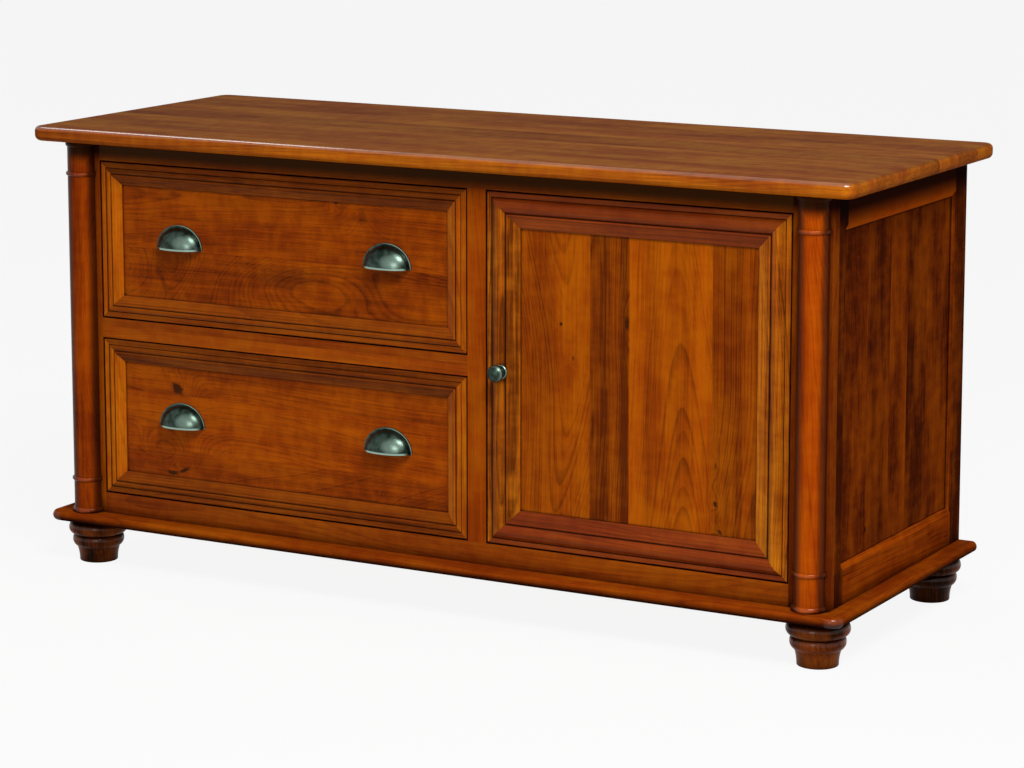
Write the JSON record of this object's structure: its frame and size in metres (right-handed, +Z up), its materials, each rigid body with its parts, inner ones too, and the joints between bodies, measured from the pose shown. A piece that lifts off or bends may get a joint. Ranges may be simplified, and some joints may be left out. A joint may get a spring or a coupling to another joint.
{
  "type": "office credenza",
  "caption": "Low office credenza with wide filing drawers beside a framed door, turned corner columns and feet.",
  "frame": {"origin": "on the floor, under the middle of the top board", "axes": "+X along the front to the right as seen from the front, +Y from the front to the back, +Z up"},
  "size_m": [1.524, 0.59, 0.764],
  "materials": {
    "stained_cherry": "stained and clear-lacquered cherry, satin to semi-gloss",
    "inside_timber": "clear-lacquered hardwood",
    "plywood": "stained veneered plywood, flat",
    "pewter": "antique pewter, burnished on the edges",
    "zinc_plated_steel": "zinc plated",
    "nickel_plated_steel": "nickel plated",
    "catch_plastic": "brown moulded plastic",
    "rail_aluminium": "mill finish"
  },
  "bodies": {
    "root": {"back_panel": "plywood", "base_front": "stained_cherry", "base_sides": "stained_cherry", "bottom_bearers": "inside_timber", "case_bottom": "inside_timber", "centre_partition": "inside_timber", "column_left": "stained_cherry", "column_right": "stained_cherry", "door_catch": "catch_plastic", "face_rail_bottom": "stained_cherry", "face_rail_middle": "stained_cherry", "face_rail_top": "stained_cherry", "face_stile_centre": "stained_cherry", "face_stile_left": "stained_cherry", "face_stile_right": "stained_cherry", "foot_back_left": "stained_cherry", "foot_back_right": "stained_cherry", "foot_bolts": "nickel_plated_steel", "foot_front_left": "stained_cherry", "foot_front_right": "stained_cherry", "hinge_arms": "nickel_plated_steel", "shelf": "inside_timber", "shelf_pins": "nickel_plated_steel", "side_left_panel": "stained_cherry", "side_left_rails": "stained_cherry", "side_left_stiles": "stained_cherry", "side_packers": "inside_timber", "side_right_panel": "stained_cherry", "side_right_rails": "stained_cherry", "side_right_stiles": "stained_cherry", "slide_outers": "zinc_plated_steel", "top_board": "stained_cherry", "top_stretchers": "inside_timber"},
    "door": {"door_stile_left": "stained_cherry", "door_stile_right": "stained_cherry", "door_rail_top": "stained_cherry", "door_rail_bottom": "stained_cherry", "door_panel": "stained_cherry", "door_knob": "pewter", "hinge_cups": "nickel_plated_steel", "catch_strike": "nickel_plated_steel"},
    "upper_drawer": {"upper_drawer_box_bottom": "plywood", "upper_drawer_box_walls": "inside_timber", "upper_drawer_file_rails": "rail_aluminium", "upper_drawer_front_panel": "stained_cherry", "upper_drawer_front_rails": "stained_cherry", "upper_drawer_front_stiles": "stained_cherry", "upper_drawer_pulls": "pewter", "upper_slide_inners": "zinc_plated_steel"},
    "lower_drawer": {"lower_drawer_box_bottom": "plywood", "lower_drawer_box_walls": "inside_timber", "lower_drawer_file_rails": "rail_aluminium", "lower_drawer_front_panel": "stained_cherry", "lower_drawer_front_rails": "stained_cherry", "lower_drawer_front_stiles": "stained_cherry", "lower_drawer_pulls": "pewter", "lower_slide_inners": "zinc_plated_steel"},
    "upper_slides": {"upper_slide_middles": "zinc_plated_steel"},
    "lower_slides": {"lower_slide_middles": "zinc_plated_steel"}
  },
  "joints": [
    {"name": "door_hinge", "type": "hinge", "parent": "root", "child": "door", "pos_m": [0.64575, -0.253, 0.4185], "axis": [0, 0, 1], "range_deg": [0, 95]},
    {"name": "upper_drawer_slide", "type": "slide", "parent": "root", "child": "upper_drawer", "axis": [0, -1, 0], "range_m": [0, 0.45]},
    {"name": "lower_drawer_slide", "type": "slide", "parent": "root", "child": "lower_drawer", "axis": [0, -1, 0], "range_m": [0, 0.45]},
    {"name": "upper_slides_run", "type": "slide", "parent": "root", "child": "upper_slides", "axis": [0, -1, 0], "range_m": [0, 0.225]},
    {"name": "lower_slides_run", "type": "slide", "parent": "root", "child": "lower_slides", "axis": [0, -1, 0], "range_m": [0, 0.225]}
  ],
  "couplings": [
    {"joint": "upper_slides_run", "follows": "upper_drawer_slide", "ratio": 0.5},
    {"joint": "lower_slides_run", "follows": "lower_drawer_slide", "ratio": 0.5}
  ]
}
